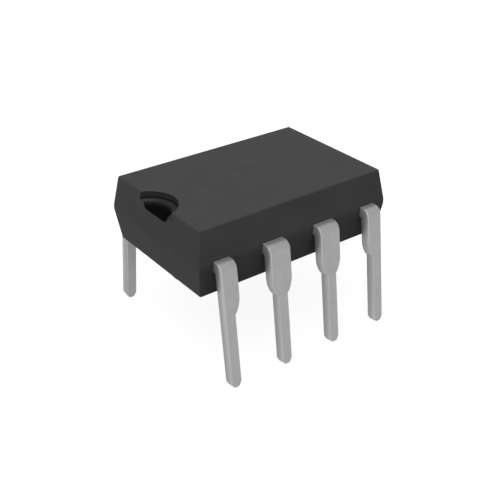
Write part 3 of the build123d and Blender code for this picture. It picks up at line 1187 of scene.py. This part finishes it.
@dataclass
class LeadFrame:
    """The eight formed leads, each one strip from its tip to its inner finger."""

    sheet: float = 0.45 * MM
    pitch: float = 2.54 * MM
    pin_width: float = 0.48 * MM
    shoulder_width: float = 0.985 * MM
    ledge_width: float = 0.60 * MM
    ledge_rise: float = 0.03 * MM
    shoulder_taper: float = 0.68 * MM
    pin_length: float = 3.175 * MM
    tip_chamfer: float = 0.12 * MM
    tip_chamfer_height: float = 0.215 * MM
    bend_gap: float = 0.14 * MM
    outer_bend_radius: float = 0.36 * MM
    inner_bend_radius: float = 0.08 * MM
    splay: float = math.radians(7.1)
    neck_depth: float = 0.30 * MM
    edge_radius: float = 0.055 * MM
    edge_angle: float = math.radians(60)
    sharper_than: float = math.radians(40)
    taper_steps: int = 7
    bend_steps: int = 8
    edge_steps: int = 3
    joggle_start: float = 0.82 * MM
    joggle_run: float = 0.60 * MM
    joggle_flat: float = 0.15 * MM
    joggle_radius: float = 0.25 * MM
    joggle_steps: int = 4
    stub_bar: float = 0.36 * MM
    stub_bar_overhang: float = 0.16 * MM
    anode_pad_width: float = 0.74 * MM
    detector_arm_width: float = 0.70 * MM
    signal_finger_width: float = 0.70 * MM
    supply_arm_width: float = 0.60 * MM

    def __post_init__(self) -> None:
        """Work out the places that follow from the frame and the sizes."""
        body_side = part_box("outer_moulding")[1].y
        lead_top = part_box("lead_6")[1].z
        self.level = lead_top - self.sheet / 2
        self.fold = math.tan((math.pi / 2 - self.splay) / 2)
        overhang = self.bend_gap + self.outer_bend_radius * self.fold
        self.outer_corner = Vector((0, -(body_side + overhang), lead_top))
        self.inner_corner = self.outer_corner + Vector((0, self.sheet * self.fold, -self.sheet))
        self.corner = (self.outer_corner + self.inner_corner) / 2
        self.neck_y = -(body_side - self.neck_depth)
        self.step_y = -(body_side - self.joggle_start)
        self.up = Vector((0, math.sin(self.splay), math.cos(self.splay)))
        self.tip_z = self.sheet / 2 * math.sin(self.splay)
        self.leg_length = (self.level - self.tip_z) / math.cos(self.splay)
        self.tip_y = self.corner.y - self.leg_length * math.sin(self.splay)

    def outline(self) -> list[tuple[float, float]]:
        """Half widths of the leg, each with its distance up the leg from the tip.

        Returns:
            Pairs of distance and half width, from the tip to the bend.
        """
        ledge = (self.pin_length - self.tip_z) / math.cos(self.splay)
        half_pin, half_ledge = self.pin_width / 2, self.ledge_width / 2
        half_shoulder = self.shoulder_width / 2
        spread = half_shoulder - half_ledge
        radius = (spread**2 + self.shoulder_taper**2) / (2 * spread)
        sweep = math.asin(self.shoulder_taper / radius)
        top = ledge + self.ledge_rise + self.shoulder_taper
        rows = [(0, half_pin - self.tip_chamfer), (self.tip_chamfer_height, half_pin), (ledge, half_pin)]
        for step in range(self.taper_steps, -1, -1):
            turn = sweep * step / self.taper_steps
            rows.append((top - radius * math.sin(turn), half_shoulder - radius * (1 - math.cos(turn))))
        rows.append((self.leg_length, half_shoulder))
        return rows

    def leg(self) -> bpy.types.Object:
        """Model the middle surface of a leg with both shoulders, at X 0 on the front row.

        Returns:
            An open sheet from the tip to the neck.
        """
        rows = self.outline()
        first = rows[1][0]
        centre = Vector((0, self.tip_y, self.tip_z)) + self.up * first / 2
        turn = (math.pi / 2 - self.splay, 0, 0)
        plane = bpy.ops.mesh.primitive_plane_add
        leg = add(plane, "leg_pattern", size=1, location=centre, rotation=turn)
        leg.scale = (2 * rows[1][1], first, 1)
        apply_transform(leg)
        with editing(leg):
            pick(leg, Pick.EDGE, lambda edge: middle(edge).z < centre.z and along(edge, Axis.X))
            bpy.ops.transform.resize(value=(rows[0][1] / rows[1][1], 1, 1))
            pick(leg, Pick.EDGE, lambda edge: middle(edge).z > centre.z and along(edge, Axis.X))
            for (start, width), (end, next_width) in zip(rows[1:], rows[2:]):
                draw_out(self.up * (end - start))
                bpy.ops.transform.resize(value=(next_width / width, 1, 1))
            draw_out((0, self.neck_y - self.corner.y, 0))
        return leg

    def blank(self, pattern: bpy.types.Object, number: int) -> Finger:
        """Copy the leg to the place that a lead has in its own row.

        An end lead is trimmed on its outer side. A lead of the back row is modelled on the front
        row, where half a turn about Z puts it.

        Args:
            pattern: The leg with both shoulders.
            number: The lead's number.

        Returns:
            The start of the lead's finger.
        """
        place_in_row = (number - 1) % LEADS_IN_ROW
        x = (place_in_row - (LEADS_IN_ROW - 1) / 2) * self.pitch
        lead = duplicate(pattern, f"formed_lead_{number}")
        lead.location = (x, 0, 0)
        apply_transform(lead)
        outward = {0: -1, LEADS_IN_ROW - 1: 1}.get(place_in_row, 0)
        if outward:
            edge = x + outward * self.pin_width / 2
            with editing(lead):
                bpy.ops.mesh.select_all(action="SELECT")
                bpy.ops.mesh.bisect(
                    plane_co=(edge, 0, 0),
                    plane_no=(outward, 0, 0),
                    clear_outer=True,
                    threshold=NEAR,
                )
        low_x = x - (self.pin_width if outward < 0 else self.shoulder_width) / 2
        high_x = x + (self.pin_width if outward > 0 else self.shoulder_width) / 2
        return Finger(lead, low_x, high_x, self.neck_y, self.level)

    def joggle(self, finger: Finger, level: float) -> None:
        """Step the finger to another level, with both folds rounded.

        Args:
            finger: The finger.
            level: Level of the finger's middle after the step.
        """
        turn = math.atan(abs(level - finger.end_z) / self.joggle_run)
        folds = (self.step_y, self.step_y + self.joggle_run)
        finger.run_to(folds[0])
        finger.run_to(folds[1], level)
        finger.run_to(folds[1] + self.joggle_flat)
        for fold in folds:
            finger.pick_line(Axis.X, fold, finger.low_x, finger.high_x)
            round_picked(self.joggle_radius * math.tan(turn / 2), self.joggle_steps)

    def stub(self, finger: Finger) -> None:
        """Unconnected stub with a cross bar that anchors it.

        Args:
            finger: The finger to draw.
        """
        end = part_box("lead_1")[1].y
        bar_start = end - self.stub_bar
        finger.run_to(bar_start)
        finger.run_to(end)
        for x, hand in ((finger.low_x, -1), (finger.high_x, 1)):
            finger.widen(x, bar_start, end, hand * self.stub_bar_overhang)

    def anode_finger(self, finger: Finger) -> None:
        """Finger raised to the emitter's level, narrower at its bond pad.

        Args:
            finger: The finger to draw.
        """
        self.joggle(finger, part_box("lead_3")[1].z - self.sheet / 2)
        start = finger.end_y - self.joggle_flat
        finger.narrow_to(start, finger.low_x, finger.low_x + self.anode_pad_width)
        finger.run_to(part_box("lead_2")[1].y)

    def cathode_paddle(self, finger: Finger) -> None:
        """Raised paddle that carries the emitter on its lower face.

        Args:
            finger: The finger to draw.
        """
        low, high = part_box("lead_3")
        self.joggle(finger, high.z - self.sheet / 2)
        start = finger.end_y
        finger.run_to(high.y)
        finger.widen(finger.low_x, start, high.y, low.x - finger.low_x)

    def detector_paddle(self, finger: Finger) -> None:
        """Lowered arm and paddle that carry the detector.

        Args:
            finger: The finger to draw.
        """
        half = -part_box("lead_5")[0].x
        arm = self.detector_arm_width / 2
        self.joggle(finger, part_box("detector_die_attach")[0].z - self.sheet / 2)
        finger.run_to(-arm)
        finger.run_to(arm)
        finger.widen(finger.high_x, -arm, arm, -half - finger.high_x)
        draw_out((2 * half, 0, 0))
        for side in (-1, 1):
            finger.pick_line(Axis.X, side * arm, -half, half)
            draw_out((0, side * (half - arm), 0))

    def signal_finger(self, finger: Finger) -> None:
        """Straight finger that ends short of the detector, for one bond wire.

        Args:
            finger: The finger to draw.
        """
        centre = (finger.low_x + finger.high_x) / 2
        half = self.signal_finger_width / 2
        start = finger.end_y
        finger.run_to(self.step_y)
        finger.narrow_to(start, centre - half, centre + half)
        finger.run_to(-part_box("lead_6")[0].y)

    def supply_finger(self, finger: Finger) -> None:
        """Finger with an arm that turns in towards the detector.

        Args:
            finger: The finger to draw.
        """
        low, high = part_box("lead_8")
        arm_start = -low.y - self.supply_arm_width
        finger.run_to(arm_start)
        finger.run_to(-low.y)
        finger.widen(finger.low_x, arm_start, -low.y, -high.x - finger.low_x)

    def thicken(self, lead: bpy.types.Object) -> None:
        """Give the sheet its thickness, centred on its middle surface, and round its edges.

        Args:
            lead: The lead as an open sheet.
        """
        merge_and_face_out(lead)
        settings = {"thickness": self.sheet, "offset": 0, "use_even_offset": True}
        apply_modifier(lead, "SOLIDIFY", settings)
        with editing(lead):
            self.round_bend(lead)
        rounding = {
            "width": self.edge_radius,
            "segments": self.edge_steps,
            "limit_method": "ANGLE",
            "angle_limit": self.edge_angle,
            "use_clamp_overlap": False,
        }
        apply_modifier(lead, "BEVEL", rounding)

    def round_bend(self, lead: bpy.types.Object) -> None:
        """Round the folded bend, tighter outside than the strip's thickness would make it.

        Args:
            lead: The thickened lead with its sharp fold, in edit mode.
        """
        pick(lead, Pick.EDGE, lambda edge: (middle(edge) - self.corner).yz.length < NEAR)
        bpy.ops.mesh.dissolve_edges()
        outer = (self.outer_corner, self.outer_bend_radius)
        inner = (self.inner_corner, self.inner_bend_radius)
        for corner, radius in (outer, inner):
            pick(lead, Pick.EDGE, lambda edge: (middle(edge) - corner).yz.length < NEAR)
            round_picked(radius * self.fold, self.bend_steps)

    def build(self) -> list[bpy.types.Object]:
        """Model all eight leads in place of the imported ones.

        Returns:
            The leads, from 1 to 8.
        """
        pattern = self.leg()
        ways_to_draw = [
            self.stub,
            self.anode_finger,
            self.cathode_paddle,
            self.stub,
            self.detector_paddle,
            self.signal_finger,
            self.signal_finger,
            self.supply_finger,
        ]
        leads = []
        for number, draw in enumerate(ways_to_draw, start=1):
            finger = self.blank(pattern, number)
            lead = finger.lead
            with editing(lead):
                draw(finger)
            self.thicken(lead)
            if number > LEADS_IN_ROW:
                lead.rotation_euler.z = math.pi
                apply_transform(lead)
            smooth(lead, self.sharper_than)
            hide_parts(f"lead_{number}")
            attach(lead, BODY)
            leads.append(lead)
        bpy.data.objects.remove(pattern)
        return leads

    def dress(self, leads: Sequence[bpy.types.Object]) -> None:
        """Give the leads their finish.

        Args:
            leads: The finished leads.
        """
        tin = TinPlate(self.outer_corner, self.splay).material()
        for lead in leads:
            coat_with(lead, tin)


@dataclass
class InnerPieces:
    """The pieces inside the body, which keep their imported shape."""

    guide: GuideEpoxy = GuideEpoxy()
    coat: ClearSilicone = ClearSilicone()
    emitter: Chip = Chip(
        name="emitter_chip_finish",
        node="emitter_die",
        shade=(0.35, 0.16, 0.12),
        cell_shade=(0.22, 0.10, 0.09),
        metal_shade=(0.85, 0.62, 0.22),
        cell=0.08 * MM,
        pad_radius=0.06 * MM,
    )
    detector: Chip = Chip(
        name="detector_silicon_finish",
        node="detector_die",
        shade=(0.16, 0.17, 0.22),
        cell_shade=(0.30, 0.31, 0.34),
        metal_shade=(0.62, 0.62, 0.60),
        cell=0.12 * MM,
        pad_radius=0.16 * MM,
    )
    adhesive: MetalFilm = MetalFilm(
        name="silver_adhesive_finish",
        shade=(0.62, 0.62, 0.60),
        dull_shade=(0.46, 0.45, 0.42),
        flake=0.02 * MM,
        metallic=0.5,
        roughness=0.5,
    )
    gold: MetalFilm = MetalFilm(
        name="gold_wire_finish",
        shade=(0.85, 0.62, 0.22),
        dull_shade=(0.72, 0.50, 0.17),
        flake=0.008 * MM,
        metallic=1.0,
        roughness=0.25,
    )
    wires: tuple[str, ...] = ("emitter", "supply", "enable", "output", "ground")

    def dress(self) -> list[str]:
        """Give every inner piece its finish.

        Returns:
            The names of the pieces.
        """
        adhesive = self.adhesive.material()
        gold = self.gold.material()
        finishes = {
            "inner_moulding": self.guide.material(),
            "emitter_gel_coat": self.coat.material(),
            "emitter_die": self.emitter.material(),
            "detector_die": self.detector.material(),
            "emitter_die_attach": adhesive,
            "detector_die_attach": adhesive,
        }
        for wire in self.wires:
            finishes[f"{wire}_bond_wire"] = gold
        for name, material in finishes.items():
            coat_with(bpy.data.objects[name], material)
        return list(finishes)


@dataclass(frozen=True)
class Softbox:
    """A soft square lamp, by its direction from the object and the brightness of its face."""

    name: str
    azimuth: float
    elevation: float
    distance: float
    size: float
    brightness: float


@dataclass
class Studio:
    """Pale floor, soft light and the photograph's viewing angle."""

    azimuth: float = -36.879
    elevation: float = 29.933
    distance: float = 37.24 * MM
    target: tuple[float, float, float] = (0.023 * MM, 0, 2.945 * MM)
    lens: float = 62.05
    sensor: float = 36
    nearest: float = 1 * MM
    farthest: float = 10
    floor_size: float = 1.2
    floor_finish: PaleFloor = PaleFloor()
    sky: float = 0.68
    lamps: tuple[Softbox, ...] = (
        Softbox("key_lamp", azimuth=-45, elevation=68, distance=62 * MM, size=44 * MM, brightness=2.6),
        Softbox("left_lamp", azimuth=-70, elevation=18, distance=150 * MM, size=100 * MM, brightness=1.2),
    )

    def camera(self) -> None:
        """Stand the camera at the photograph's viewing angle."""
        data = bpy.data.cameras.new("view")
        data.lens = self.lens
        data.sensor_width = self.sensor
        data.clip_start = self.nearest
        data.clip_end = self.farthest
        camera = bpy.data.objects.new("view", data)
        self.aim(camera, self.azimuth, self.elevation, self.distance)
        bpy.context.scene.camera = camera

    def floor(self) -> None:
        """Lay a pale floor that shows white and keeps the soft shadow."""
        floor = add(bpy.ops.mesh.primitive_plane_add, "floor", size=self.floor_size)
        coat_with(floor, self.floor_finish.material())

    def world(self) -> None:
        """Light everything evenly, and show white behind."""
        world = bpy.data.worlds.new("studio")
        world.use_nodes = True
        bpy.context.scene.world = world
        graph = Graph(world.node_tree)
        strength = graph.shown_rays() * (1 - self.sky) + self.sky
        shader = graph.node("Background", sockets={"Color": grey(1), "Strength": strength})
        graph.surface(graph.out(shader))

    def aim(self, item: bpy.types.Object, azimuth: float, elevation: float, distance: float) -> None:
        """Stand a camera or lamp in one direction from the object and turn it to face it.

        Args:
            item: The camera or lamp.
            azimuth: Degrees from the front towards +X.
            elevation: Degrees above the floor.
            distance: Distance from the target.
        """
        turn, tilt = math.radians(azimuth), math.radians(elevation)
        away = Vector(
            (math.sin(turn) * math.cos(tilt), -math.cos(turn) * math.cos(tilt), math.sin(tilt))
        )
        item.location = Vector(self.target) + away * distance
        item.rotation_mode = "QUATERNION"
        item.rotation_quaternion = (-away).to_track_quat("-Z", "Y")
        bpy.context.scene.collection.objects.link(item)

    def lamp(self, softbox: Softbox) -> None:
        """Hang a soft square lamp.

        Args:
            softbox: Its direction, size and brightness.
        """
        data = bpy.data.lights.new(softbox.name, "AREA")
        data.size = softbox.size
        data.energy = softbox.brightness * math.pi * softbox.size**2
        lamp = bpy.data.objects.new(softbox.name, data)
        lamp.visible_glossy = False
        self.aim(lamp, softbox.azimuth, softbox.elevation, softbox.distance)

    def build(self) -> None:
        """Set up the camera, the floor, the world and the lamps."""
        bpy.context.scene.view_settings.view_transform = "Standard"
        self.camera()
        self.floor()
        self.world()
        for softbox in self.lamps:
            self.lamp(softbox)


def main() -> None:
    """Load the frame, build and dress every piece and set up the studio."""
    logging.basicConfig(level=logging.INFO, format="%(message)s")
    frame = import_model()
    for body in frame["bodies"]:
        log.info("body %s", body)
    lead_frame = LeadFrame()
    leads = lead_frame.build()
    lead_frame.dress(leads)
    moulding = MouldedBody()
    shell = moulding.build(leads)
    moulding.dress(shell)
    for piece in (*leads, shell):
        log.info("built %s with %d faces", piece.name, len(piece.data.polygons))
    for name in InnerPieces().dress():
        log.info("dressed %s", name)
    Studio().build()


if __name__ == "__main__":
    main()
